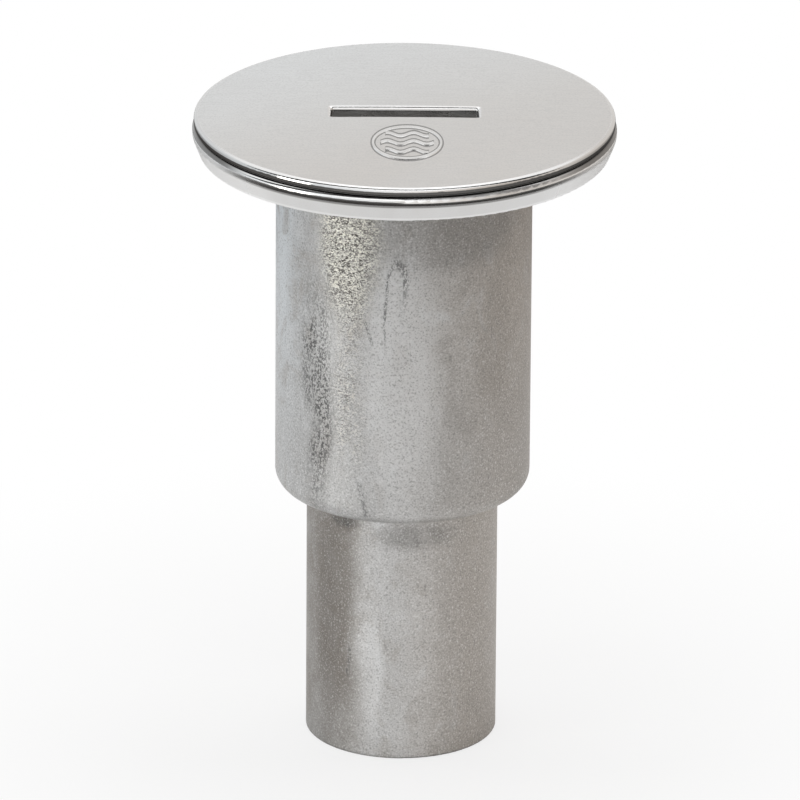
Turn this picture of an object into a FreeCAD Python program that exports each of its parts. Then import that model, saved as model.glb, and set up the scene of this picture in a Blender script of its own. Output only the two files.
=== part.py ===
import FreeCAD, Part
import math
import os

# Waste deck fitting for a pump-out hose. One casting makes the flange, the barrel and the
# hose tail. A slotted screw cap, nearly as wide as the flange, closes the barrel and hides
# the countersunk deck screws. A ring in the neck of the cap seals it.
# Millimetres. The origin is on the axis, in the flat underside of the flange that lies on
# the deck. +Z points up out of the deck, and the key slot of the closed cap lies along X.

# Parallel pipe thread, G 1 1/2, with flanks at 27.5 degrees
THREAD_MAJOR_RADIUS = 23.9015
THREAD_PITCH = 2.309
THREAD_DEPTH_PER_PITCH = 0.640327
THREAD_FLANK_ANGLE = 27.5
THREAD_TURNS = 5
THREAD_RADIAL_CLEARANCE = 0.06
THREAD_FLANK_CLEARANCE = 0.1
THREAD_RUNOUT = 1.2
THREAD_RELIEF = 0.9
THREAD_BITE = 0.3

# Barrel and hose tail
THREAD_WALL = 1.4385
BARREL_WALL = 2.4
BARREL_LENGTH = 71.0
TAIL_RADIUS = 19.05
TAIL_WALL = 2.2
TAIL_LENGTH = 52.3
TAIL_END_ROUND = 0.4
SHOULDER_THICKNESS = 2.6
SHOULDER_ROUND = 3.5
SHOULDER_ROOT = 1.2
SHOULDER_INNER_ROUND = 2.0
THROAT_ROUND = 2.5

# Flange, with a polished lip round a recess for the screw heads
FLANGE_RADIUS = 41.95
FLANGE_FOOT_INSET = 1.3
FLANGE_FOOT_ROUND = 0.35
FLANGE_UNDERCUT_HEIGHT = 3.3
FLANGE_UNDERCUT_ROUND = 1.6
FLANGE_LIP_HEIGHT = 5.3
FLANGE_LIP_ROUND = 1.2
FLANGE_LIP_LAND = 2.2
FLANGE_RECESS_DEPTH = 0.9
BARREL_TOP_FILLET = 0.6
SMALL_ROUND = 0.2

# Deck screws, countersunk, in a circle under the cap
SCREW_COUNT = 4
SCREW_HOLE_RADIUS = 2.7
SCREW_HEAD_RADIUS = 4.9
SCREW_FIRST_ANGLE = 45.0
SCREW_OVERCUT = 1.0

# Cap
CAP_REVEAL = 0.3
CAP_RIM_THICKNESS = 1.6
CAP_DOME = 0.7
CAP_TOP_ROUND = 0.8
CAP_UNDER_ROUND = 0.1
CAP_SEAM = 0.1
CAP_WEB = 2.6
PLUG_WALL = 3.0
PLUG_END_CHAMFER = 0.8
PLUG_HOLLOW_ROUND = 1.5

# Neck of the cap, in the bore of the flange, down to its seat above the thread
NECK_STEP = 0.85
NECK_CLEARANCE = 0.05
NECK_SEAT_HEIGHT = 0.4
NECK_SEAT_GAP = 0.3

# Key slot across the cap
SLOT_LENGTH = 29.0
SLOT_WIDTH = 5.2
SLOT_DEPTH = 3.2
SLOT_CORNER_ROUND = 0.5
SLOT_LIP_ROUND = 0.8

# Sealing ring in the neck of the cap
SEAL_SECTION_RADIUS = 0.8
SEAL_GAP = 0.02
SEAL_GROOVE_LAND = 1.35

# Radii that follow
THREAD_DEPTH = THREAD_DEPTH_PER_PITCH * THREAD_PITCH
THREAD_MINOR_RADIUS = THREAD_MAJOR_RADIUS - THREAD_DEPTH
THREAD_BORE_RADIUS = THREAD_MAJOR_RADIUS + THREAD_RADIAL_CLEARANCE
PLUG_CORE_RADIUS = THREAD_MINOR_RADIUS - THREAD_RADIAL_CLEARANCE
PLUG_HOLLOW_RADIUS = PLUG_CORE_RADIUS - PLUG_WALL
BARREL_RADIUS = THREAD_BORE_RADIUS + THREAD_WALL
BARREL_BORE_RADIUS = BARREL_RADIUS - BARREL_WALL
TAIL_BORE_RADIUS = TAIL_RADIUS - TAIL_WALL
NECK_RADIUS = THREAD_MAJOR_RADIUS + NECK_STEP
NECK_BORE_RADIUS = NECK_RADIUS + NECK_CLEARANCE
CAP_RADIUS = FLANGE_RADIUS - CAP_REVEAL
LIP_INNER_RADIUS = CAP_RADIUS - FLANGE_LIP_LAND
SCREW_CIRCLE_RADIUS = (NECK_BORE_RADIUS + LIP_INNER_RADIUS) / 2
SEAL_RING_RADIUS = NECK_BORE_RADIUS - SEAL_GAP - SEAL_SECTION_RADIUS
SEAL_GROOVE_RADIUS = SEAL_RING_RADIUS - SEAL_SECTION_RADIUS - SEAL_GAP

# Heights that follow
SHOULDER_Z = -BARREL_LENGTH
TAIL_END_Z = SHOULDER_Z - TAIL_LENGTH
RECESS_Z = FLANGE_LIP_HEIGHT - FLANGE_RECESS_DEPTH
CAP_UNDER_Z = FLANGE_LIP_HEIGHT + CAP_SEAM
CAP_EDGE_Z = CAP_UNDER_Z + CAP_RIM_THICKNESS
CAP_TOP_Z = CAP_EDGE_Z + CAP_DOME
SLOT_FLOOR_Z = CAP_TOP_Z - SLOT_DEPTH
WEB_UNDER_Z = SLOT_FLOOR_Z - CAP_WEB
NECK_END_Z = NECK_SEAT_HEIGHT + NECK_SEAT_GAP
PLUG_END_Z = NECK_SEAT_HEIGHT - THREAD_TURNS * THREAD_PITCH
THREAD_END_Z = PLUG_END_Z - THREAD_RUNOUT
SEAL_Z = (CAP_UNDER_Z + NECK_END_Z) / 2

# How exactly edges are picked out by place for a fillet
PLACE_TOLERANCE = 0.01


def rounded_outline(corners):
    """Closed outline in the XZ plane from (radius, height, rounding) corners.

    Where two roundings would meet on a short side, both shrink to fit it.
    """
    points = [FreeCAD.Vector(radius, 0, height) for radius, height, _ in corners]
    count = len(points)
    backs = [(points[i - 1] - points[i]).normalize() for i in range(count)]
    aheads = [(points[(i + 1) % count] - points[i]).normalize() for i in range(count)]
    half_angles = [backs[i].getAngle(aheads[i]) / 2 for i in range(count)]
    reaches = [corners[i][2] / math.tan(half_angles[i]) for i in range(count)]
    shares = [1.0] * count
    for i in range(count):
        after = (i + 1) % count
        needed = reaches[i] + reaches[after]
        side = points[i].distanceToPoint(points[after])
        if needed > side:
            shares[i] = min(shares[i], side / needed)
            shares[after] = min(shares[after], side / needed)
    starts = []
    ends = []
    edges = []
    for i in range(count):
        reach = reaches[i] * shares[i]
        starts.append(points[i] + backs[i] * reach)
        ends.append(points[i] + aheads[i] * reach)
        if reach > 0:
            rounding = corners[i][2] * shares[i]
            inset = rounding / math.sin(half_angles[i]) - rounding
            middle = points[i] + (backs[i] + aheads[i]).normalize() * inset
            edges.append(Part.Arc(starts[i], middle, ends[i]).toShape())
    for i in range(count):
        stop = starts[(i + 1) % count]
        if ends[i].distanceToPoint(stop) > Part.Precision.confusion():
            edges.append(Part.LineSegment(ends[i], stop).toShape())
    return Part.Wire(Part.__sortEdges__(edges))


def turned(corners):
    """Solid of revolution about Z from a rounded outline."""
    face = Part.Face(rounded_outline(corners))
    return face.revolve(FreeCAD.Vector(0, 0, 0), FreeCAD.Vector(0, 0, 1), 360)


def thread_ridge(root_radius, crest_radius, middle_z, low_z, high_z):
    """Right-hand helical ridge that stands on a wall and runs out in a chamfer at each end.

    It crosses the XZ plane on the +X side at middle_z, and at every pitch from there. Its
    foot is sunk into the wall by THREAD_BITE.
    """
    side = 1 if crest_radius > root_radius else -1
    slope = math.tan(math.radians(THREAD_FLANK_ANGLE))
    half_middle = THREAD_PITCH / 4 - THREAD_FLANK_CLEARANCE / 2
    half_crest = half_middle - slope * THREAD_DEPTH / 2
    half_foot = half_middle + slope * (THREAD_DEPTH / 2 + THREAD_BITE)
    foot_radius = root_radius - side * THREAD_BITE
    turns_below = math.ceil((middle_z - low_z) / THREAD_PITCH) + 1
    start_z = middle_z - THREAD_PITCH * turns_below
    length = high_z - start_z + THREAD_PITCH
    helix = Part.Wire(Part.makeHelix(THREAD_PITCH, length, root_radius))
    section = Part.makePolygon(
        [
            FreeCAD.Vector(foot_radius, 0, -half_foot),
            FreeCAD.Vector(crest_radius, 0, -half_crest),
            FreeCAD.Vector(crest_radius, 0, half_crest),
            FreeCAD.Vector(foot_radius, 0, half_foot),
            FreeCAD.Vector(foot_radius, 0, -half_foot),
        ]
    )
    ridge = helix.makePipeShell([section], True, True)
    ridge.translate(FreeCAD.Vector(0, 0, start_z))
    sunk = 2 * THREAD_BITE
    proud = THREAD_DEPTH + THREAD_BITE
    between_ends = turned(
        [
            (root_radius - side * sunk, low_z - sunk, 0),
            (root_radius + side * proud, low_z + proud, 0),
            (root_radius + side * proud, high_z - proud, 0),
            (root_radius - side * sunk, high_z + sunk, 0),
        ]
    )
    return ridge.common(between_ends)


def screw_holes():
    """Countersunk holes, their mouths in the floor of the flange's recess."""
    drop = SCREW_HEAD_RADIUS - SCREW_HOLE_RADIUS
    holes = []
    for index in range(SCREW_COUNT):
        angle = math.radians(SCREW_FIRST_ANGLE + 360.0 * index / SCREW_COUNT)
        x = SCREW_CIRCLE_RADIUS * math.cos(angle)
        y = SCREW_CIRCLE_RADIUS * math.sin(angle)
        bottom = FreeCAD.Vector(x, y, -SCREW_OVERCUT)
        shank = Part.makeCylinder(SCREW_HOLE_RADIUS, RECESS_Z + SCREW_OVERCUT, bottom)
        seat = FreeCAD.Vector(x, y, RECESS_Z - drop)
        head = Part.makeCone(SCREW_HOLE_RADIUS, SCREW_HEAD_RADIUS, drop, seat)
        holes.append(shank.fuse(head))
    return holes


def make_body():
    """Flange, barrel, shoulder and hose tail, cast and turned as one piece."""
    thread_step = THREAD_BORE_RADIUS - BARREL_BORE_RADIUS
    shoulder_floor = SHOULDER_Z + SHOULDER_THICKNESS
    outside = [
        (TAIL_RADIUS, TAIL_END_Z, TAIL_END_ROUND),
        (TAIL_RADIUS, SHOULDER_Z, SHOULDER_ROOT),
        (BARREL_RADIUS, SHOULDER_Z, SHOULDER_ROUND),
        (BARREL_RADIUS, 0, BARREL_TOP_FILLET),
        (FLANGE_RADIUS - FLANGE_FOOT_INSET, 0, FLANGE_FOOT_ROUND),
        (FLANGE_RADIUS, FLANGE_UNDERCUT_HEIGHT, FLANGE_UNDERCUT_ROUND),
        (FLANGE_RADIUS, FLANGE_LIP_HEIGHT, FLANGE_LIP_ROUND),
    ]
    inside = [
        (LIP_INNER_RADIUS, FLANGE_LIP_HEIGHT, SMALL_ROUND),
        (LIP_INNER_RADIUS, RECESS_Z, SMALL_ROUND),
        (NECK_BORE_RADIUS, RECESS_Z, SMALL_ROUND),
        (NECK_BORE_RADIUS, NECK_SEAT_HEIGHT, 0),
        (THREAD_BORE_RADIUS, NECK_SEAT_HEIGHT, 0),
        (THREAD_BORE_RADIUS, THREAD_END_Z, 0),
        (BARREL_BORE_RADIUS, THREAD_END_Z - thread_step, 0),
        (BARREL_BORE_RADIUS, shoulder_floor, SHOULDER_INNER_ROUND),
        (TAIL_BORE_RADIUS, shoulder_floor, THROAT_ROUND),
        (TAIL_BORE_RADIUS, TAIL_END_Z, TAIL_END_ROUND),
    ]
    thread = thread_ridge(
        THREAD_BORE_RADIUS,
        THREAD_MINOR_RADIUS + THREAD_RADIAL_CLEARANCE,
        PLUG_END_Z + THREAD_PITCH / 2,
        THREAD_END_Z + THREAD_BITE,
        NECK_SEAT_HEIGHT - THREAD_BITE,
    )
    return turned(outside + inside).cut(screw_holes()).fuse(thread)


def ring_edges(shape, radius, height):
    """Circular edges about Z at the given radius and height."""
    found = []
    for edge in shape.Edges:
        box = edge.BoundBox
        level = max(abs(box.ZMin - height), abs(box.ZMax - height)) < PLACE_TOLERANCE
        if level and min(abs(box.XMax - radius), abs(box.XMin + radius)) < PLACE_TOLERANCE:
            found.append(edge)
    return found


def slot_lip(shape):
    """Edges round the mouth of the key slot, in the domed face of the cap."""
    reach_x = SLOT_LENGTH / 2 + PLACE_TOLERANCE
    reach_y = SLOT_WIDTH / 2 + PLACE_TOLERANCE
    found = []
    for edge in shape.Edges:
        box = edge.BoundBox
        inside_x = max(abs(box.XMin), abs(box.XMax)) < reach_x
        inside_y = max(abs(box.YMin), abs(box.YMax)) < reach_y
        if inside_x and inside_y and box.ZMin > CAP_EDGE_Z:
            found.append(edge)
    return found


def key_slot():
    """Straight flat-bottomed slot with slightly rounded corners, reaching up past the face."""
    corner = FreeCAD.Vector(-SLOT_LENGTH / 2, -SLOT_WIDTH / 2, SLOT_FLOOR_Z)
    block = Part.makeBox(SLOT_LENGTH, SLOT_WIDTH, 2 * SLOT_DEPTH, corner)
    upright = [edge for edge in block.Edges if edge.BoundBox.ZLength > SLOT_DEPTH]
    return block.makeFillet(SLOT_CORNER_ROUND, upright)


def make_cap():
    """Domed disc with a slot above and a hollow threaded plug with a grooved neck below."""
    groove_top = CAP_UNDER_Z - SEAL_GROOVE_LAND
    groove_bottom = NECK_END_Z + SEAL_GROOVE_LAND
    blank = turned(
        [
            (0, CAP_TOP_Z, 0),
            (CAP_RADIUS, CAP_TOP_Z, 0),
            (CAP_RADIUS, CAP_UNDER_Z, CAP_UNDER_ROUND),
            (NECK_RADIUS, CAP_UNDER_Z, SMALL_ROUND),
            (NECK_RADIUS, groove_top, 0),
            (SEAL_GROOVE_RADIUS, groove_top, 0),
            (SEAL_GROOVE_RADIUS, groove_bottom, 0),
            (NECK_RADIUS, groove_bottom, 0),
            (NECK_RADIUS, NECK_END_Z, SMALL_ROUND),
            (PLUG_CORE_RADIUS, NECK_END_Z, SMALL_ROUND),
            (PLUG_CORE_RADIUS, PLUG_END_Z + PLUG_END_CHAMFER, 0),
            (PLUG_CORE_RADIUS - PLUG_END_CHAMFER, PLUG_END_Z, 0),
            (PLUG_HOLLOW_RADIUS, PLUG_END_Z, SMALL_ROUND),
            (PLUG_HOLLOW_RADIUS, WEB_UNDER_Z, PLUG_HOLLOW_ROUND),
            (0, WEB_UNDER_Z, 0),
        ]
    )
    dome_radius = (CAP_RADIUS**2 + CAP_DOME**2) / (2 * CAP_DOME)
    dome = Part.makeSphere(dome_radius, FreeCAD.Vector(0, 0, CAP_TOP_Z - dome_radius))
    cap = blank.common(dome)
    cap = cap.makeFillet(CAP_TOP_ROUND, ring_edges(cap, CAP_RADIUS, CAP_EDGE_Z))
    cap = cap.cut(key_slot())
    cap = cap.makeFillet(SLOT_LIP_ROUND, slot_lip(cap))
    thread = thread_ridge(
        PLUG_CORE_RADIUS,
        THREAD_MAJOR_RADIUS - THREAD_RADIAL_CLEARANCE,
        PLUG_END_Z,
        PLUG_END_Z + PLUG_END_CHAMFER + THREAD_BITE,
        NECK_END_Z - THREAD_RELIEF,
    )
    return cap.fuse(thread)


def make_cap_seal():
    """Round-section rubber ring, lying in the neck's groove against the flange's bore."""
    ring = Part.makeTorus(SEAL_RING_RADIUS, SEAL_SECTION_RADIUS)
    ring.translate(FreeCAD.Vector(0, 0, SEAL_Z))
    return ring


os.makedirs("parts", exist_ok=True)
make_body().exportStep("parts/body.step")
make_cap().exportStep("parts/cap.step")
make_cap_seal().exportStep("parts/cap_seal.step")
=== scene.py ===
import math
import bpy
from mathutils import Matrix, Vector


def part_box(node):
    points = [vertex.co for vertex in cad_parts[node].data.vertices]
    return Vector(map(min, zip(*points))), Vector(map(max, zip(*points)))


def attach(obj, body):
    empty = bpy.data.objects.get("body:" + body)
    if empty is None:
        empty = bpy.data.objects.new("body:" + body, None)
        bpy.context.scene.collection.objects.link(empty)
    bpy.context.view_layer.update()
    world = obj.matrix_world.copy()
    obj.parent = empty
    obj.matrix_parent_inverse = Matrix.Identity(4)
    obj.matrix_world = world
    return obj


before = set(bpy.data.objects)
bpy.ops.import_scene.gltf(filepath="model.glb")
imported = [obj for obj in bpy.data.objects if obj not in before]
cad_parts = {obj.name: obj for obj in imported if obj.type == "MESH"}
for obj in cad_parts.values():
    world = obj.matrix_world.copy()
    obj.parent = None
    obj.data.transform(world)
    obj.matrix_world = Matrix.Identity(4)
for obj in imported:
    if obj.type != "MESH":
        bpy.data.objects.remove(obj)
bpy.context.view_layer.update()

from types import SimpleNamespace

import bmesh
import bpy
from mathutils import Matrix, Vector

# Waste deck fitting: finishes, mark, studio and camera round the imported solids.
# Lengths are in metres. The fitting's axis is Z, and z = 0 is the flange's underside.
# Angles on the fitting are in degrees from the front, positive to the right.

MM = 0.001

# Sizes read from the frame
CAP_HIGH = Vector(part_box("cap")[1])
BODY_LOW, BODY_HIGH = [Vector(corner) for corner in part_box("body")]
CAP_RADIUS = CAP_HIGH.x
FLANGE_TOP = BODY_HIGH.z
TAIL_END = BODY_LOW.z

# Sizes repeated from the part's source
SHOULDER_HEIGHT = -71.0 * MM
CAP_UNDER_HEIGHT = FLANGE_TOP + 0.1 * MM
CAP_TOP_ROUND = 0.8 * MM
SLOT_LENGTH = 29.0 * MM
SLOT_WIDTH = 5.2 * MM
SLOT_LIP_ROUND = 0.8 * MM
CAP_DOME = 0.7 * MM

# Domed face of the cap
DOME_RADIUS = (CAP_RADIUS**2 + CAP_DOME**2) / (2 * CAP_DOME)
CAP_APEX = CAP_HIGH.z + (SLOT_WIDTH / 2 + SLOT_LIP_ROUND) ** 2 / (2 * DOME_RADIUS)

# Where one finish of the casting goes over into the next, each from one end to the other
FLANGE_FOOT = (-0.15 * MM, 0.0)
FLANGE_INNER = (26.5 * MM, 27.5 * MM)
BARREL_BORE = (24.3 * MM, 24.5 * MM)
BARREL_BORE_END = (-70 * MM, -69 * MM)
TAIL_BORE = (17.2 * MM, 17.6 * MM)
TAIL_START = (SHOULDER_HEIGHT, SHOULDER_HEIGHT - 1.0 * MM)

# Painted highlight, sheen, dark reflections and seam shade, and other lines and zones of the
# flange's edge, by height: (from, to) or (middle, half width, fade)
# Painted highlight along the foot of the flange
FOOT_HIGHLIGHT = (0.75 * MM, 0.5 * MM)
# Painted dark reflection in a line along the front of the edge
LIP_DARK_REFLECTION = (3.6 * MM, 0.35 * MM, 0.25 * MM)
# Painted shade along the seam under the cap
SEAM_SHADE_LOW = (4.9 * MM, 5.05 * MM)
SEAM_SHADE_HIGH = (5.28 * MM, 5.2 * MM)
# Heights of the lip that carry the painted dark reflection at its ends
DARKENED_LIP_HEIGHTS = (4.2 * MM, 4.45 * MM)
# Matt sides of the edge's top, also coloured white as a painted sheen
MATT_SIDE_AND_SHEEN = (4.6 * MM, 4.2 * MM)
SOFT_LIP = (3.8 * MM, 4.0 * MM)

# Angles over which the painted dark reflection on the lip's two ends fades out behind
DARKENED_LIP_END_FADE = (91.67, 126.05)

# Lines and zones of the cap, as (from, to)
RIM = (CAP_RADIUS - CAP_TOP_ROUND - 0.1 * MM, CAP_RADIUS - CAP_TOP_ROUND + 0.15 * MM)
CAP_UPPER = (CAP_UNDER_HEIGHT + 0.5 * MM, CAP_UNDER_HEIGHT + 0.8 * MM)
# Painted shade along the seam at the cap's underside
CAP_SEAM_SHADE = (CAP_UNDER_HEIGHT + 0.35 * MM, CAP_UNDER_HEIGHT + 0.2 * MM)
# Painted dark reflection on the cap's side face, at its sides
CAP_WALL_DARK_REFLECTION = (CAP_HIGH.z - 0.95 * MM, CAP_HIGH.z - 1.25 * MM)
# Painted shade deep in the key slot
SLOT_SHADE = (CAP_HIGH.z - 0.5 * MM, CAP_HIGH.z - 0.9 * MM)
PLUG_TOP = (CAP_UNDER_HEIGHT - 0.1 * MM, CAP_UNDER_HEIGHT)

# The way toward the light on the cap, and where along it the face is darkest and lightest
TOWARD_LIGHT = (-0.5, 0.86)
FACE_LIGHT = (-30 * MM, 42 * MM)

# Painted light and shade, shades and lines of the tube, by height or radius: (from, to) or
# (middle, half width, fade)
# Heights over which the painted rim light on the left grows
LEFT_RIM_LIGHT = (-80 * MM, -5 * MM)
LOWER_BARREL = (-20 * MM, -62 * MM)
# Painted shade in the fold where the shoulder meets the tail
CREASE_SHADE = (SHOULDER_HEIGHT - 0.4 * MM, 0.2 * MM, 0.4 * MM)
CREASE_RADIUS = (20.6 * MM, 20.0 * MM)
END_LINE = (TAIL_END + 0.7 * MM, TAIL_END + 0.2 * MM)
# Heights over which the painted shade on the tail's left grows from its end
LEFT_TAIL_SHADE_GROWTH = (TAIL_END, TAIL_END + 16 * MM, 0.72, 1.0)

# Oval patches on the tube: angle, height, half width as an angle, half height and, where it
# isn't the usual one, the share of the oval that is solid
HIGHLIGHT = (-26, -13 * MM, 20, 19 * MM)
# Rough lane below the highlight, whose light crinkles are painted glints
ROUGH_GLINT_LANE = (-24, -42 * MM, 11, 30 * MM)
# Lane of painted shade on the left of the barrel, with dark pits
PITTED_SHADE_LANE = (-42, -44 * MM, 13, 34 * MM)
SHADOW_BAND = (22, -9 * MM, 50, 10 * MM, 0.5)
CENTRE = (-1, -42 * MM, 24, 40 * MM)
BROWN_PATCH = (45, -34 * MM, 17, 18 * MM)
# Painted highlight streak down the tail
TAIL_HIGHLIGHT = (-19, -105 * MM, 11, 17 * MM)
TAIL_SHADE = (-45, -90 * MM, 22, 36 * MM, 0.3)
# Painted shade on the tail just under the shoulder
UNDER_SHOULDER_SHADE = (8, -75.5 * MM, 32, 4 * MM)
# Dark blotchy patch on the tail just under the shoulder, on the left
SHOULDER_CORNER_DARK = (-38, -73.2 * MM, 16, 2.4 * MM)

# Dark strokes on the tube, each from its upper to its lower end, as (angle, height)
STROKES = (
    ((-19.0, -26.5 * MM), (-14.0, -33.0 * MM)),
    ((-30.0, -99.5 * MM), (-35.0, -107.5 * MM)),
    ((-20.0, -61.0 * MM), (-16.5, -70.0 * MM)),
    ((-35.0, -72.5 * MM), (-33.5, -76.5 * MM)),
)
STROKE_HALF_WIDTH = (0.4, 1.4)
STROKE_END_FADE = 1.5 * MM

# Arch-shaped stain on the barrel. Its line is (middle, half width, fade) in its own half widths
ARCH_ANGLE = -2.5
ARCH_HALF_WIDTH = 3.8
ARCH_SPRING = -20 * MM
ARCH_RISE = 5 * MM
ARCH_LEG_END = (-36 * MM, -26 * MM)
ARCH_RIGHT_SHORTER = 8 * MM
ARCH_WAVER = 0.12
ARCH_LINE = (1.0, 0.08, 0.22)

# Mark on the cap
MARK_MIDDLE = (0.5 * MM, -17.2 * MM)
MARK_SQUASH = 0.38
MARK_HALF_WIDTH = 6.7 * MM
MARK_HALF_HEIGHT = 3.3 * MM
MARK_HALF_LINE = 0.46 * MM
MARK_EDGE = 0.12 * MM
WAVE_LEVELS = (-1, 0, 1)
WAVE_SPACING = 1.7 * MM
WAVE_LENGTH = 5.2 * MM
WAVE_RISE = 0.34 * MM
WAVE_END_GAP = 1.5 * MM
WAVE_HOLLOW_WIDER = 1.15
WAVE_STEPS = 60
RING_STEPS = 128

# Ridge of the mark. Its profile is offsets in half widths, and whether each is on the crown
RIDGE_PROFILE = ((-1.0, False), (-0.72, True), (0.72, True), (1.0, False))
RIDGE_HALF_WIDTH = 0.3 * MM
RIDGE_HEIGHT = 0.14 * MM
RIDGE_SUNK = 0.05 * MM

# Floor. Its glow in the camera grows between the two radii, till it is the backdrop's white
FLOOR_RADIUS = 260 * MM
FLOOR_GAP = 0.05 * MM
FLOOR_SEGMENTS = 128
FLOOR_GLOW = (30 * MM, 150 * MM, 0.75, 1.0)

# Colours of the studio
WHITE = (1.0, 1.0, 1.0, 1.0)
STUDIO_LEFT = (0.95, 0.98, 1.0, 1.0)
STUDIO_RIGHT = (0.88, 0.83, 0.78, 1.0)
STUDIO_LOW_FRONT = (0.5, 0.45, 0.40, 1.0)
STUDIO_OVERHEAD = (1.35, 1.35, 1.35, 1.0)

# Dark gap across the studio, above the front
GAP_ELEVATION = 70.0
GAP_HALF_WIDTH = 0.17
GAP_FADE = 0.1

# Key lamp, a soft box low on the left
KEY_AZIMUTH = -60
KEY_ELEVATION = 8
KEY_DISTANCE = 1.2
KEY_WIDTH = 0.4
KEY_HEIGHT = 0.6
KEY_POWER = 3.0
KEY_COLOUR = (1.0, 0.98, 0.93)

# Camera, as fitted to the circles of the photograph
PHOTO_SIZE = 800
FOCAL_PIXELS = 12664.0
CAMERA_PITCH = 0.3794
CAMERA_ROLL = 0.0067
CAMERA_DISTANCE = 2500.0 * MM
AIM_RIGHT = 0.93 * MM
AIM_DOWN = -56.17 * MM
CAP_EDGE_HEIGHT = 6.8 * MM
SENSOR_WIDTH = 36.0
CLIP_START = 0.1
CLIP_END = 50


class Shading:
    """Short calls that add shader nodes to a material or world and link them."""

    def __init__(self, owner):
        owner.use_nodes = True
        self.tree = owner.node_tree
        self.tree.nodes.clear()

    def add(self, kind, inputs=None, **settings):
        """Add a node, with its settings first and then its inputs, by name or number."""
        node = self.tree.nodes.new(kind)
        for key, value in settings.items():
            setattr(node, key, value)
        for key, value in (inputs or {}).items():
            self.feed(node.inputs[key], value)
        return node

    def feed(self, socket, value):
        """Link another node's output to a socket, or set the socket to a plain value."""
        if isinstance(value, bpy.types.NodeSocket):
            self.tree.links.new(value, socket)
        else:
            socket.default_value = value

    def math(self, operation, a, b=0.0):
        """Result of a math node on one or two values."""
        return self.add("ShaderNodeMath", {0: a, 1: b}, operation=operation).outputs[0]

    def total(self, *values):
        result = values[0]
        for value in values[1:]:
            result = self.math("ADD", result, value)
        return result

    def product(self, *values):
        result = values[0]
        for value in values[1:]:
            result = self.math("MULTIPLY", result, value)
        return result

    def inverse(self, value):
        return self.math("SUBTRACT", 1.0, value)

    def length(self, a, b):
        """Length of the line with the two sides a and b at right angles."""
        return self.math("SQRT", self.total(self.product(a, a), self.product(b, b)))

    def ramp(self, value, low, high, from_value=0.0, to_value=1.0):
        """Smooth step of a value from low to high, given out between two values."""
        inputs = {"Value": value, "From Min": low, "From Max": high}
        inputs.update({"To Min": from_value, "To Max": to_value})
        return self.add("ShaderNodeMapRange", inputs, interpolation_type="SMOOTHSTEP").outputs[0]

    def turn(self, angle, low, high, from_value=0.0, to_value=1.0):
        """Smooth step of an angle in radians, between two angles in degrees."""
        return self.ramp(angle, math.radians(low), math.radians(high), from_value, to_value)

    def band(self, value, middle, half_width, fade):
        """1 within half_width of the middle, fading to 0 over the fade."""
        away = self.math("ABSOLUTE", self.math("SUBTRACT", value, middle))
        return self.ramp(away, half_width, half_width + fade, 1.0, 0.0)

    def spot(self, angle, z, at_angle, at_height, half_angle, half_height, solid=0.35):
        """1 inside an oval patch on the tube, fading to 0 at its outline."""
        across = self.math("SUBTRACT", angle, math.radians(at_angle))
        across = self.math("DIVIDE", across, math.radians(half_angle))
        along = self.math("DIVIDE", self.math("SUBTRACT", z, at_height), half_height)
        return self.ramp(self.length(across, along), solid, 1.0, 1.0, 0.0)

    def mix(self, factor, first, second):
        """Blend of two colours."""
        node = self.add("ShaderNodeMix", {0: factor, 6: first, 7: second}, data_type="RGBA")
        return node.outputs[2]

    def layers(self, colour, layers):
        """A colour with layers over it, each given as (share, colour)."""
        for share, shade in layers:
            colour = self.mix(share, colour, shade)
        return colour

    def blend(self, factor, first, second):
        """Blend of two numbers."""
        node = self.add("ShaderNodeMix", {0: factor, 2: first, 3: second}, data_type="FLOAT")
        return node.outputs[0]

    def coordinates(self):
        return self.add("ShaderNodeTexCoord").outputs["Object"]

    def place(self):
        """Object coordinates, with the radius about the axis and the angle from the front."""
        vector = self.coordinates()
        x, y, z = self.add("ShaderNodeSeparateXYZ", {0: vector}).outputs
        radius = self.length(x, y)
        angle = self.math("ARCTAN2", x, self.math("MULTIPLY", y, -1.0))
        return SimpleNamespace(vector=vector, x=x, y=y, z=z, radius=radius, angle=angle)

    def stretched(self, vector, scale):
        return self.add("ShaderNodeMapping", {"Vector": vector, "Scale": scale}).outputs[0]

    def noise(self, vector, scale, detail, roughness=0.5, distortion=0.0):
        inputs = {"Vector": vector, "Scale": scale, "Detail": detail, "Roughness": roughness}
        inputs["Distortion"] = distortion
        return self.add("ShaderNodeTexNoise", inputs).outputs["Fac"]

    def rings(self, vector):
        """Fine rings about the axis, as turning leaves them."""
        return self.noise(self.stretched(vector, (0.05, 0.05, 1.0)), 2600.0, 2.0, 0.6)

    def bump(self, height, distance, strength):
        inputs = {"Height": height, "Distance": distance, "Strength": strength}
        return self.add("ShaderNodeBump", inputs).outputs[0]

    def surface(self, **inputs):
        """Principled shader to the output; underscores in the names stand for spaces."""
        shader = self.add("ShaderNodeBsdfPrincipled")
        for key, value in inputs.items():
            self.feed(shader.inputs[key.replace("_", " ")], value)
        output = self.add("ShaderNodeOutputMaterial")
        self.tree.links.new(shader.outputs[0], output.inputs[0])


def grey(level, warmth=0.0):
    """Colour of a grey level, warmer or cooler by its warmth."""
    return (level * (1 + warmth), level, level * (1 - warmth), 1.0)


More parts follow.
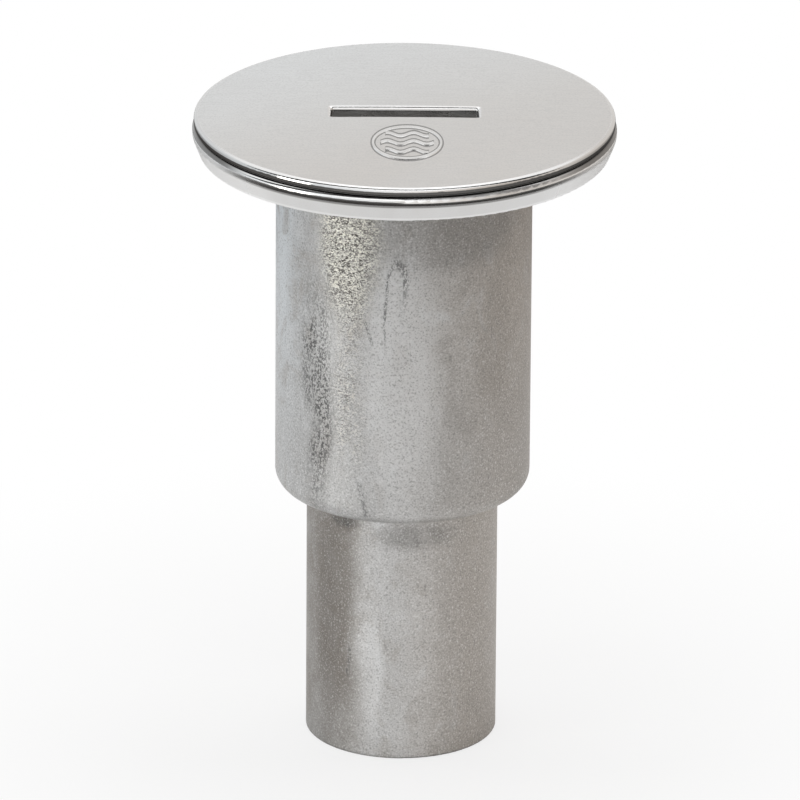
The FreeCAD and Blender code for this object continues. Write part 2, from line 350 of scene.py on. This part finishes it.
def arch_stain(s, angle, z, waver):
    """Thin uneven arch with two legs, a dried run of fluid on the barrel."""
    uneven = s.product(s.math("SUBTRACT", waver, 0.5), ARCH_WAVER)
    bent = s.total(angle, uneven, -math.radians(ARCH_ANGLE))
    across = s.math("DIVIDE", bent, math.radians(ARCH_HALF_WIDTH))
    above = s.math("MAXIMUM", s.math("DIVIDE", s.total(z, -ARCH_SPRING), ARCH_RISE), 0.0)
    shorter_right = s.product(s.ramp(across, -0.2, 0.2), -ARCH_RIGHT_SHORTER)
    legs = s.ramp(s.total(z, shorter_right), *ARCH_LEG_END)
    return s.product(s.band(s.length(across, above), *ARCH_LINE), legs)


def stroke(s, angle, z, top, bottom):
    """Thin slanting line on the tube between two points of (angle, height)."""
    lean = math.radians(bottom[0] - top[0]) / (bottom[1] - top[1])
    line = s.total(math.radians(top[0]) - lean * top[1], s.product(z, lean))
    away = s.math("ABSOLUTE", s.math("SUBTRACT", angle, line))
    across = s.turn(away, *STROKE_HALF_WIDTH, 1.0, 0.0)
    below_top = s.ramp(z, top[1], top[1] - STROKE_END_FADE)
    return s.product(across, below_top, s.ramp(z, bottom[1], bottom[1] + STROKE_END_FADE))


def wave_reach(offset):
    """Half length of the mark's wave at an offset from its middle."""
    return MARK_HALF_WIDTH * math.sqrt(1 - (offset / MARK_HALF_HEIGHT) ** 2) - WAVE_END_GAP


def shaded_mark_hollow(s, x, y):
    """Hollow round the ridges of the mark, painted dark as shade, as a mask on the cap's face.
    """
    u = s.math("SUBTRACT", x, MARK_MIDDLE[0])
    v = s.product(s.math("SUBTRACT", y, MARK_MIDDLE[1]), MARK_SQUASH)
    across = s.math("DIVIDE", u, MARK_HALF_WIDTH)
    along = s.math("DIVIDE", v, MARK_HALF_HEIGHT)
    away = s.length(across, along)
    slope_u = s.math("DIVIDE", across, MARK_HALF_WIDTH)
    slope_v = s.math("DIVIDE", along, MARK_HALF_HEIGHT)
    slope = s.length(slope_u, slope_v)
    from_ring = s.math("DIVIDE", s.product(s.math("SUBTRACT", away, 1.0), away), slope)
    mark = s.band(from_ring, 0.0, MARK_HALF_LINE, MARK_EDGE)
    swing = s.product(s.math("SINE", s.product(u, 2 * math.pi / WAVE_LENGTH)), WAVE_RISE)
    half_line = WAVE_HOLLOW_WIDER * MARK_HALF_LINE
    for level in WAVE_LEVELS:
        offset = level * WAVE_SPACING
        line = s.band(s.math("SUBTRACT", v, swing), offset, half_line, MARK_EDGE)
        ends = s.band(u, 0.0, wave_reach(offset), MARK_EDGE)
        mark = s.math("MAXIMUM", mark, s.product(line, ends))
    return mark


def casting_noises(s, vector):
    """Uneven patterns of the casting's surface, from the largest to the finest."""
    return SimpleNamespace(
        clouds=s.noise(s.stretched(vector, (1.0, 1.0, 0.6)), 55.0, 3.0, 0.55, 0.4),
        streaks=s.noise(s.stretched(vector, (1.0, 1.0, 0.3)), 110.0, 4.0, 0.6),
        blotches=s.noise(s.stretched(vector, (1.0, 1.0, 0.7)), 160.0, 4.0, 0.65, 0.6),
        crinkle=s.noise(s.stretched(vector, (0.75, 0.75, 1.3)), 1650.0, 1.0, 0.5, 2.0),
        pits=s.noise(s.stretched(vector, (1.0, 1.0, 0.7)), 2300.0, 1.0, 0.5, 0.8),
        rings=s.rings(vector),
        grain=s.noise(vector, 2900.0, 1.0),
        fine=s.noise(vector, 3600.0, 1.0),
    )


def finish_masks(s, at):
    """Where each finish of the casting lies."""
    above_end = s.ramp(at.z, *BARREL_BORE_END)
    barrel_inside = s.product(s.ramp(at.radius, *BARREL_BORE, 1.0, 0.0), above_end)
    tail_inside = s.ramp(at.radius, *TAIL_BORE, 1.0, 0.0)
    tail = s.ramp(at.z, *TAIL_START)
    away_from_front = s.math("ABSOLUTE", at.angle)
    in_front = s.turn(away_from_front, 65, 35)
    return SimpleNamespace(
        flange=s.product(s.ramp(at.z, *FLANGE_FOOT), s.ramp(at.radius, *FLANGE_INNER)),
        inside=s.math("MAXIMUM", barrel_inside, tail_inside),
        tail=tail,
        barrel=s.inverse(tail),
        away_from_front=away_from_front,
        in_front=in_front,
        matt_side_and_sheen=s.product(s.inverse(in_front), s.ramp(at.z, *MATT_SIDE_AND_SHEEN)),
    )


def tube_masks(s, at, noises, zones):
    """Where the marks, the painted light and shade, and other shades lie that make the tube's
    front uneven.
    """
    clouds, streaks, blotches, pits = noises.clouds, noises.streaks, noises.blotches, noises.pits
    barrel, tail, z = zones.barrel, zones.tail, at.z
    waver = s.total(s.product(clouds, 0.22), s.product(streaks, 0.14), -0.18)
    angle = s.total(at.angle, waver)
    facing = s.turn(zones.away_from_front, 85, 150, 1.0, 0.0)
    pitted = s.ramp(pits, 0.42, 0.54)

    rough_glint_lane = s.product(barrel, s.spot(angle, z, *ROUGH_GLINT_LANE), s.ramp(streaks, 0.36, 0.56))
    pitted_shade_lane = s.product(barrel, s.spot(angle, z, *PITTED_SHADE_LANE), s.ramp(streaks, 0.4, 0.54))
    brown_patch = s.product(barrel, s.spot(angle, z, *BROWN_PATCH), s.ramp(clouds, 0.3, 0.6))
    strokes = 0.0
    for top, bottom in STROKES:
        strokes = s.math("MAXIMUM", strokes, stroke(s, angle, z, top, bottom))
    left_tail_shade = s.product(tail, facing, s.turn(angle, -14, -38))
    under_shoulder_shade = s.product(tail, s.spot(angle, z, *UNDER_SHOULDER_SHADE), s.ramp(clouds, 0.3, 0.55))
    shoulder_corner_dark = s.product(tail, s.spot(angle, z, *SHOULDER_CORNER_DARK), s.ramp(blotches, 0.36, 0.54))
    return SimpleNamespace(
        warm=s.product(facing, s.turn(angle, -15, 50)),
        shaded_left_side=s.product(facing, s.turn(angle, -36, -52)),
        left_rim_light=s.product(facing, s.turn(angle, -48, -72), s.ramp(z, *LEFT_RIM_LIGHT)),
        shaded_right_side=s.product(facing, s.turn(angle, 15, 58)),
        shaded_right_edge=s.product(facing, s.turn(angle, 40, 75)),
        lower=s.product(barrel, s.ramp(z, *LOWER_BARREL)),
        centre=s.product(barrel, s.spot(angle, z, *CENTRE)),
        brown_patch=brown_patch,
        shadow_band=s.product(barrel, s.spot(angle, z, *SHADOW_BAND)),
        highlight=s.product(barrel, s.spot(angle, z, *HIGHLIGHT)),
        rough_glint_lane=rough_glint_lane,
        pitted_shade_lane=pitted_shade_lane,
        arch=s.product(arch_stain(s, angle, z, streaks), pitted),
        strokes=s.product(strokes, pitted),
        tail_highlight=s.product(tail, s.spot(angle, z, *TAIL_HIGHLIGHT)),
        left_tail_shade=s.product(left_tail_shade, s.ramp(z, *LEFT_TAIL_SHADE_GROWTH)),
        shaded_tail_right=s.product(tail, facing, s.turn(angle, 8, 30)),
        tail_shade=s.product(tail, s.spot(angle, z, *TAIL_SHADE)),
        under_shoulder_shade=under_shoulder_shade,
        shoulder_corner_dark=shoulder_corner_dark,
        crease_shade=s.product(s.band(z, *CREASE_SHADE), s.ramp(at.radius, *CREASE_RADIUS)),
        end_line=s.ramp(z, *END_LINE),
    )


def tube_tone(s, noises, zones, marks):
    """Colour of the tube: soft shades and painted light and shade first, then stains, then grain
    and crinkles.
    """
    crinkle, grain = noises.crinkle, noises.grain
    light_blotches = s.ramp(noises.blotches, 0.47, 0.32)
    dark_blotches = s.ramp(noises.blotches, 0.5, 0.66)
    left_tail_shade_share = s.ramp(noises.blotches, 0.35, 0.65, 0.7, 0.86)
    shadow_share = s.ramp(noises.streaks, 0.25, 0.6, 0.3, 0.6)
    light_grain = s.ramp(grain, 0.5, 0.2, 0.0, 0.5)
    off_left_tail_shade = s.inverse(s.product(marks.left_tail_shade, 0.35))
    tone = s.mix(s.ramp(noises.clouds, 0.3, 0.7), grey(0.66, 0.004), grey(0.76, -0.006))
    layers = (
        (s.product(marks.warm, 0.8), grey(0.63, 0.08)),
        # Painted shade on the left side of the tube
        (s.product(marks.shaded_left_side, 0.7), grey(0.62, -0.01)),
        # Painted cool rim light on the left edge, strongest near the top
        (marks.left_rim_light, (0.93, 0.97, 1.0, 1.0)),
        (s.product(dark_blotches, 0.5), grey(0.46, 0.06)),
        (s.product(light_blotches, 0.45), grey(0.9, -0.015)),
        # Painted shade on the right side, deepest low on the right edge
        (s.product(marks.shaded_right_side, 0.6), grey(0.42, 0.1)),
        (s.product(marks.shaded_right_edge, marks.lower, 0.65), grey(0.32, 0.1)),
        (s.product(marks.lower, 0.4), grey(0.42, 0.02)),
        (s.product(marks.centre, 0.5), grey(0.96)),
        (s.product(marks.brown_patch, 0.36), grey(0.34, 0.1)),
        (s.product(zones.tail, 0.16), grey(0.42, 0.08)),
        # Painted highlight streak down the tail
        (s.product(marks.tail_highlight, s.ramp(noises.streaks, 0.3, 0.6), 0.5), grey(1.0, -0.01)),
        (s.product(marks.shadow_band, shadow_share), grey(0.34, 0.04)),
        (s.product(marks.highlight, 0.5), (0.66, 0.635, 0.56, 1.0)),
        # Painted shade in the pitted lane on the left of the barrel
        (s.product(marks.pitted_shade_lane, 0.3), grey(0.4, 0.02)),
        # Painted shade on the tail's left side, weaker near its end
        (s.product(marks.left_tail_shade, left_tail_shade_share), grey(0.235, 0.1)),
        # Painted shade on the tail's right side
        (s.product(marks.shaded_tail_right, 0.36), grey(0.36, 0.06)),
        (s.product(marks.tail_shade, 0.5), grey(0.17, 0.12)),
        # Painted shade on the tail just under the shoulder
        (s.product(marks.under_shoulder_shade, 0.6), grey(0.26, 0.04)),
        # Dark blotchy patch on the tail just under the shoulder, on the left
        (s.product(marks.shoulder_corner_dark, 0.75), grey(0.12, 0.04)),
        # Painted shade in the fold where the shoulder meets the tail
        (s.product(marks.crease_shade, 0.85), grey(0.13, 0.02)),
        (s.product(marks.end_line, 0.5), grey(0.28, 0.02)),
        (s.ramp(grain, 0.5, 0.8, 0.0, 0.55), grey(0.2, 0.02)),
        (s.product(light_grain, off_left_tail_shade), grey(1.0)),
        (s.product(marks.highlight, s.ramp(crinkle, 0.5, 0.59), 0.95), grey(0.1, 0.08)),
        (s.product(marks.highlight, s.ramp(crinkle, 0.46, 0.38), 0.95), (1.0, 0.985, 0.89, 1.0)),
        # Rough lane below the highlight: dark crinkles, and light crinkles that are painted
        # glints
        (s.product(marks.rough_glint_lane, s.ramp(crinkle, 0.51, 0.61), 0.75), grey(0.2, 0.06)),
        (s.product(marks.rough_glint_lane, s.ramp(crinkle, 0.45, 0.35), 0.6), (0.94, 0.91, 0.83, 1.0)),
        # Dark pits in the lane of painted shade
        (s.product(marks.pitted_shade_lane, s.ramp(noises.pits, 0.47, 0.56), 0.85), grey(0.1)),
        (s.product(marks.arch, 0.7), grey(0.14)),
        (s.product(marks.strokes, 0.6), grey(0.14)),
    )
    return s.layers(tone, layers)


def flange_tone(s, at, noises, zones):
    """Colour of the flange: bright, with a painted highlight at its foot, a painted sheen on its
    sides, and painted dark reflections and seam shade in its edge and on the ends of its lip.
    """
    lip_dark_reflection = s.product(zones.in_front, s.band(at.z, *LIP_DARK_REFLECTION))
    seam_shade = s.product(s.ramp(at.z, *SEAM_SHADE_LOW), s.ramp(at.z, *SEAM_SHADE_HIGH))
    lip = s.ramp(at.z, *DARKENED_LIP_HEIGHTS)
    lip_left_dark_reflection = s.product(s.turn(at.angle, -42, -60), lip)
    lip_right_dark_reflection = s.product(s.turn(at.angle, 30, 62), lip)
    not_behind = s.turn(zones.away_from_front, *DARKENED_LIP_END_FADE, 1.0, 0.0)
    lip_end_dark_reflection = s.product(s.math("MAXIMUM", lip_left_dark_reflection, lip_right_dark_reflection), not_behind)
    tone = s.mix(s.ramp(noises.streaks, 0.3, 0.7), grey(0.84, 0.006), grey(0.88))
    layers = (
        # Painted dark reflection in a line along the front of the edge
        (s.product(lip_dark_reflection, 0.7), grey(0.12, 0.04)),
        # Painted shade along the seam under the cap
        (s.product(seam_shade, 0.85), grey(0.06, 0.04)),
        # Painted sheen: the matt sides of the edge's top are coloured white
        (s.product(zones.matt_side_and_sheen, 0.8), grey(1.0)),
        # Painted dark reflection on the two ends of the lip
        (s.product(lip_end_dark_reflection, 0.9), grey(0.1, 0.05)),
        # Painted highlight along the foot of the flange
        (s.ramp(at.z, *FOOT_HIGHLIGHT), grey(1.0)),
    )
    return s.layers(tone, layers)


def casting_material():
    """Stainless casting: polished flange edge, matt tube with stains and painted light and
    shade, machined inside.
    """
    material = bpy.data.materials.new("casting_steel")
    s = Shading(material)
    at = s.place()
    noises = casting_noises(s, at.vector)
    zones = finish_masks(s, at)
    marks = tube_masks(s, at, noises, zones)
    rings = noises.rings

    bore_tone = s.mix(s.ramp(rings, 0.35, 0.65), grey(0.5, 0.01), grey(0.6))
    colour = tube_tone(s, noises, zones, marks)
    colour = s.mix(zones.flange, colour, flange_tone(s, at, noises, zones))
    colour = s.mix(zones.inside, colour, bore_tone)

    tube_roughness = s.total(0.36, s.product(noises.pits, 0.12), s.product(noises.clouds, 0.1))
    edge_roughness = s.ramp(noises.streaks, 0.3, 0.7, 0.12, 0.17)
    soft_lip = s.product(s.ramp(at.z, *SOFT_LIP), s.turn(at.angle, -5, 12))
    edge_roughness = s.blend(soft_lip, edge_roughness, 0.3)
    edge_roughness = s.blend(zones.matt_side_and_sheen, edge_roughness, 0.5)
    roughness = s.blend(zones.flange, tube_roughness, edge_roughness)
    roughness = s.blend(zones.inside, roughness, s.ramp(rings, 0.3, 0.7, 0.25, 0.4))

    rough_part = s.product(s.inverse(zones.flange), s.inverse(zones.inside))
    crinkled = s.product(marks.highlight, 1.1)
    lanes = s.product(marks.rough_glint_lane, 0.7), s.product(marks.pitted_shade_lane, 0.6)
    cast_depth = s.total(0.13, crinkled, *lanes)
    cast_pattern = s.total(noises.crinkle, s.product(noises.fine, 0.5))
    cast_height = s.product(rough_part, cast_depth, cast_pattern)
    ring_depth = s.total(0.1, s.product(zones.tail, 0.3))
    ring_height = s.product(s.inverse(zones.flange), rings, ring_depth)
    normal = s.bump(s.total(cast_height, ring_height), 0.08 * MM, 0.7)
    s.surface(Base_Color=colour, Metallic=1.0, Roughness=roughness, Normal=normal)
    return material


def slot_mask(s, at):
    """Where the key slot lies, with the rounds of its lip."""
    half_length, half_width = SLOT_LENGTH / 2, SLOT_WIDTH / 2
    away_x, away_y = s.math("ABSOLUTE", at.x), s.math("ABSOLUTE", at.y)
    in_length = s.ramp(away_x, half_length, half_length + SLOT_LIP_ROUND, 1.0, 0.0)
    in_width = s.ramp(away_y, half_width, half_width + SLOT_LIP_ROUND, 1.0, 0.0)
    return s.product(in_length, in_width)


def cap_material():
    """Stainless cap: satin face, polished rim and slot, machined plug."""
    material = bpy.data.materials.new("cap_steel")
    s = Shading(material)
    at = s.place()
    away_from_front = s.math("ABSOLUTE", at.angle)

    slot = slot_mask(s, at)
    slot_shade = s.product(slot, s.ramp(at.z, *SLOT_SHADE))
    rim = s.ramp(at.radius, *RIM)
    face = s.product(s.ramp(at.z, *CAP_UPPER), s.inverse(rim), s.inverse(slot))
    plug = s.ramp(at.z, *PLUG_TOP, 1.0, 0.0)
    mark = s.product(face, shaded_mark_hollow(s, at.x, at.y))
    wall_dark_reflection = s.product(s.ramp(at.z, *CAP_WALL_DARK_REFLECTION), rim)
    seam_shade = s.product(s.ramp(at.z, *CAP_SEAM_SHADE), rim)
    at_side = s.turn(away_from_front, 40, 75)
    off_middle_dark_reflection = s.turn(away_from_front, 8, 40)

    streaks = s.noise(s.stretched(at.vector, (0.12, 1.0, 1.0)), 1500.0, 3.0, 0.6)
    clouds = s.noise(at.vector, 45.0, 3.0)
    grain = s.noise(at.vector, 2500.0, 2.0)
    rings = s.rings(at.vector)

    share_x, share_y = TOWARD_LIGHT
    toward_light = s.total(s.product(at.x, share_x), s.product(at.y, share_y))
    lit = s.ramp(toward_light, *FACE_LIGHT)
    face_colour = s.mix(lit, grey(0.575, 0.034), (0.685, 0.70, 0.71, 1.0))
    face_layers = (
        (s.product(s.ramp(clouds, 0.35, 0.7), 0.3), grey(0.63)),
        (s.product(s.ramp(streaks, 0.4, 0.7), 0.15), grey(0.46)),
        (s.product(s.ramp(grain, 0.45, 0.65), 0.3), grey(0.46)),
        # Painted shade in the hollow round the mark's ridges
        (s.product(mark, 0.75), grey(0.12, 0.02)),
    )
    rim_colour = s.mix(s.ramp(clouds, 0.3, 0.7), grey(0.84, 0.004), grey(0.88))
    rim_layers = (
        # Painted shade deep in the key slot
        (s.product(slot_shade, 0.8), grey(0.22, 0.03)),
        # Painted dark reflection on the rim away from the middle of the front
        (s.product(off_middle_dark_reflection, rim, 0.75), grey(0.55, 0.01)),
        # Painted dark reflection on the cap's side face, at its sides
        (s.product(at_side, wall_dark_reflection, 0.8), grey(0.16, 0.03)),
        # Painted shade along the seam at the cap's underside
        (s.product(seam_shade, 0.8), grey(0.08, 0.03)),
    )
    plug_colour = s.mix(s.ramp(rings, 0.3, 0.7), grey(0.58, 0.01), grey(0.68))
    colour = s.mix(face, s.layers(rim_colour, rim_layers), s.layers(face_colour, face_layers))
    colour = s.mix(plug, colour, plug_colour)

    face_roughness = s.total(0.3, s.product(streaks, 0.05), s.product(grain, 0.08))
    roughness = s.blend(face, s.ramp(clouds, 0.3, 0.7, 0.06, 0.1), face_roughness)
    roughness = s.blend(mark, roughness, 0.2)
    roughness = s.blend(plug, roughness, s.ramp(rings, 0.3, 0.7, 0.2, 0.32))

    face_height = s.total(s.product(face, streaks, 0.2), s.product(face, grain, 0.6))
    height = s.total(face_height, s.product(plug, rings, 0.5), s.product(mark, -2.0))
    normal = s.bump(height, 0.02 * MM, 0.8)
    s.surface(Base_Color=colour, Metallic=1.0, Roughness=roughness, Normal=normal)
    return material


def ridge_material():
    """Satin ridges of the mark."""
    material = bpy.data.materials.new("mark_steel")
    s = Shading(material)
    vector = s.coordinates()
    clouds = s.noise(vector, 300.0, 3.0)
    grain = s.noise(vector, 2500.0, 2.0)
    colour = s.mix(s.ramp(clouds, 0.3, 0.7), grey(0.66, 0.01), grey(0.74))
    roughness = s.ramp(grain, 0.3, 0.7, 0.16, 0.26)
    normal = s.bump(grain, 0.01 * MM, 0.5)
    s.surface(Base_Color=colour, Metallic=1.0, Roughness=roughness, Normal=normal)
    return material


def seal_material():
    """Black rubber with a faint bloom."""
    material = bpy.data.materials.new("seal_rubber")
    s = Shading(material)
    bloom = s.noise(s.coordinates(), 400.0, 3.0, 0.6)
    colour = s.mix(s.ramp(bloom, 0.4, 0.7), grey(0.018), grey(0.035, 0.02))
    roughness = s.ramp(bloom, 0.3, 0.7, 0.4, 0.55)
    s.surface(Base_Color=colour, Roughness=roughness, Normal=s.bump(bloom, 0.02 * MM, 0.5))
    return material


def floor_material():
    """Pale matt floor that goes over into the white backdrop, and isn't there from below."""
    material = bpy.data.materials.new("floor_white")
    s = Shading(material)
    at = s.place()
    colour = s.mix(s.ramp(s.noise(at.vector, 8.0, 3.0), 0.3, 0.7), grey(0.8), grey(0.84))
    diffuse = s.add("ShaderNodeBsdfDiffuse", {"Color": colour}).outputs[0]
    glow = s.add("ShaderNodeEmission", {"Color": WHITE, "Strength": 1.0}).outputs[0]
    seen = s.add("ShaderNodeLightPath").outputs["Is Camera Ray"]
    share = s.product(seen, s.ramp(at.radius, *FLOOR_GLOW))
    above = s.add("ShaderNodeMixShader", {0: share, 1: diffuse, 2: glow}).outputs[0]
    below = s.add("ShaderNodeNewGeometry").outputs["Backfacing"]
    clear = s.add("ShaderNodeBsdfTransparent").outputs[0]
    one_sided = s.add("ShaderNodeMixShader", {0: below, 1: above, 2: clear}).outputs[0]
    output = s.add("ShaderNodeOutputMaterial")
    s.tree.links.new(one_sided, output.inputs[0])
    return material


def dress(node, material):
    """Give a carried-over CAD piece its material, in every slot."""
    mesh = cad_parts[node].data
    if not mesh.materials:
        mesh.materials.append(material)
    for index in range(len(mesh.materials)):
        mesh.materials[index] = material


def mark_point(u, v):
    """Place in the cap's plan of a point of the mark, which is drawn flattened as it is seen."""
    return MARK_MIDDLE[0] + u, MARK_MIDDLE[1] + v / MARK_SQUASH


def raise_ridge(bm, points, closed):
    """Low ridge on the cap's domed face along a path, no higher than the cap's top."""
    count = len(points)
    rows = []
    for i in range(count):
        before = Vector(points[i - 1] if closed or i > 0 else points[i])
        after = Vector(points[(i + 1) % count] if closed or i < count - 1 else points[i])
        along = (after - before).normalized()
        across = Vector((along.y, -along.x))
        row = []
        for offset, on_crown in RIDGE_PROFILE:
            x, y = mark_point(*(Vector(points[i]) + across * offset * RIDGE_HALF_WIDTH))
            face = CAP_APEX - (x * x + y * y) / (2 * DOME_RADIUS)
            crown = min(face + RIDGE_HEIGHT, CAP_HIGH.z)
            row.append(bm.verts.new((x, y, crown if on_crown else face - RIDGE_SUNK)))
        rows.append(row)
    for i in range(count if closed else count - 1):
        near, far = rows[i], rows[(i + 1) % count]
        for k in range(len(RIDGE_PROFILE) - 1):
            bm.faces.new((near[k], near[k + 1], far[k + 1], far[k]))
    if not closed:
        bm.faces.new(rows[0])
        bm.faces.new(reversed(rows[-1]))


def make_mark():
    """Plain sign for water, raised on the cap: three waves in a ring.

    It is drawn long from front to back, so that it looks round from the photograph's side.
    """
    bm = bmesh.new()
    ring = []
    for i in range(RING_STEPS):
        turn = 2 * math.pi * i / RING_STEPS
        ring.append((MARK_HALF_WIDTH * math.cos(turn), MARK_HALF_HEIGHT * math.sin(turn)))
    raise_ridge(bm, ring, True)
    for level in WAVE_LEVELS:
        offset = level * WAVE_SPACING
        half = wave_reach(offset)
        wave = []
        for i in range(WAVE_STEPS + 1):
            u = half * (2 * i / WAVE_STEPS - 1)
            wave.append((u, offset + WAVE_RISE * math.sin(2 * math.pi * u / WAVE_LENGTH)))
        raise_ridge(bm, wave, False)
    bmesh.ops.recalc_face_normals(bm, faces=bm.faces)
    mesh = bpy.data.meshes.new("cap_mark")
    bm.to_mesh(mesh)
    bm.free()
    mesh.materials.append(ridge_material())
    mark = bpy.data.objects.new("cap_mark", mesh)
    bpy.context.scene.collection.objects.link(mark)
    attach(mark, "cap")


def make_floor():
    """Round table top under the hose tail."""
    bm = bmesh.new()
    bmesh.ops.create_circle(bm, cap_ends=True, segments=FLOOR_SEGMENTS, radius=FLOOR_RADIUS)
    mesh = bpy.data.meshes.new("floor")
    bm.to_mesh(mesh)
    bm.free()
    mesh.materials.append(floor_material())
    floor = bpy.data.objects.new("floor", mesh)
    floor.location.z = TAIL_END - FLOOR_GAP
    bpy.context.scene.collection.objects.link(floor)


def make_world():
    """White backdrop for the camera, and a studio round the metal.

    The studio is pale, cooler on the left and warmer on the right, and brightest overhead. It is
    dark below the horizon, and a dark gap runs across above the front, between two soft lights.
    """
    world = bpy.data.worlds.new("studio")
    bpy.context.scene.world = world
    s = Shading(world)
    direction = s.add("ShaderNodeTexCoord").outputs["Generated"]
    x, y, z = s.add("ShaderNodeSeparateXYZ", {0: direction}).outputs

    low_front = s.product(s.ramp(y, 0.1, -0.7), s.ramp(z, 0.6, 0.1))
    gap_angle = math.radians(GAP_ELEVATION)
    off_gap = s.total(s.product(y, math.sin(gap_angle)), s.product(z, math.cos(gap_angle)))
    gap = s.product(s.band(off_gap, 0.0, GAP_HALF_WIDTH, GAP_FADE), s.ramp(z, 0.2, 0.4))
    lifted = s.total(z, s.ramp(y, -0.3, 0.4, 0.0, 0.22))
    ground = s.ramp(lifted, -0.08, 0.05, 1.0, 0.0)
    sky = s.mix(s.ramp(x, -0.9, 0.9), STUDIO_LEFT, STUDIO_RIGHT)
    layers = (
        (s.product(low_front, s.ramp(x, -0.3, 0.8), 0.7), STUDIO_LOW_FRONT),
        (s.ramp(z, 0.45, 0.75), STUDIO_OVERHEAD),
        (gap, grey(0.04, 0.02)),
        (ground, grey(0.12, 0.04)),
    )
    seen = s.add("ShaderNodeLightPath").outputs["Is Camera Ray"]
    colour = s.mix(seen, s.layers(sky, layers), WHITE)
    background = s.add("ShaderNodeBackground", {"Color": colour, "Strength": 1.0})
    output = s.add("ShaderNodeOutputWorld")
    s.tree.links.new(background.outputs[0], output.inputs[0])


def make_key_lamp():
    """Soft box that looks at the middle of the fitting."""
    data = bpy.data.lights.new("key", "AREA")
    data.shape = "RECTANGLE"
    data.size = KEY_WIDTH
    data.size_y = KEY_HEIGHT
    data.energy = KEY_POWER
    data.color = KEY_COLOUR
    lamp = bpy.data.objects.new("key", data)
    a, e = math.radians(KEY_AZIMUTH), math.radians(KEY_ELEVATION)
    direction = Vector((math.sin(a) * math.cos(e), -math.cos(a) * math.cos(e), math.sin(e)))
    middle = Vector((0, 0, SHOULDER_HEIGHT / 2))
    lamp.location = middle + direction * KEY_DISTANCE
    lamp.rotation_euler = direction.to_track_quat("Z", "Y").to_euler()
    bpy.context.scene.collection.objects.link(lamp)


def make_camera():
    """Camera at the photograph's viewing angle, from where its circles look as they do there."""
    sin_p, cos_p = math.sin(CAMERA_PITCH), math.cos(CAMERA_PITCH)
    sin_r, cos_r = math.sin(CAMERA_ROLL), math.cos(CAMERA_ROLL)
    forward = Vector((0, cos_p, -sin_p))
    upward = Vector((0, sin_p, cos_p))
    right = Vector((1, 0, 0))
    tilted_right = right * cos_r + upward * sin_r
    tilted_up = upward * cos_r - right * sin_r
    target = Vector((0, 0, CAP_EDGE_HEIGHT))
    place = target - tilted_right * AIM_RIGHT + tilted_up * AIM_DOWN
    place = place - forward * CAMERA_DISTANCE
    data = bpy.data.cameras.new("camera")
    data.sensor_width = SENSOR_WIDTH
    data.lens = FOCAL_PIXELS / PHOTO_SIZE * SENSOR_WIDTH
    data.clip_start = CLIP_START
    data.clip_end = CLIP_END
    camera = bpy.data.objects.new("camera", data)
    columns = (tilted_right, tilted_up, -forward)
    rotation = Matrix(columns).transposed().to_4x4()
    camera.matrix_world = Matrix.Translation(place) @ rotation
    bpy.context.scene.collection.objects.link(camera)
    bpy.context.scene.camera = camera


make_camera()
make_world()
make_floor()
make_key_lamp()
dress("body", casting_material())
dress("cap", cap_material())
dress("cap_seal", seal_material())
make_mark()

bpy.context.scene.view_settings.view_transform = "Standard"
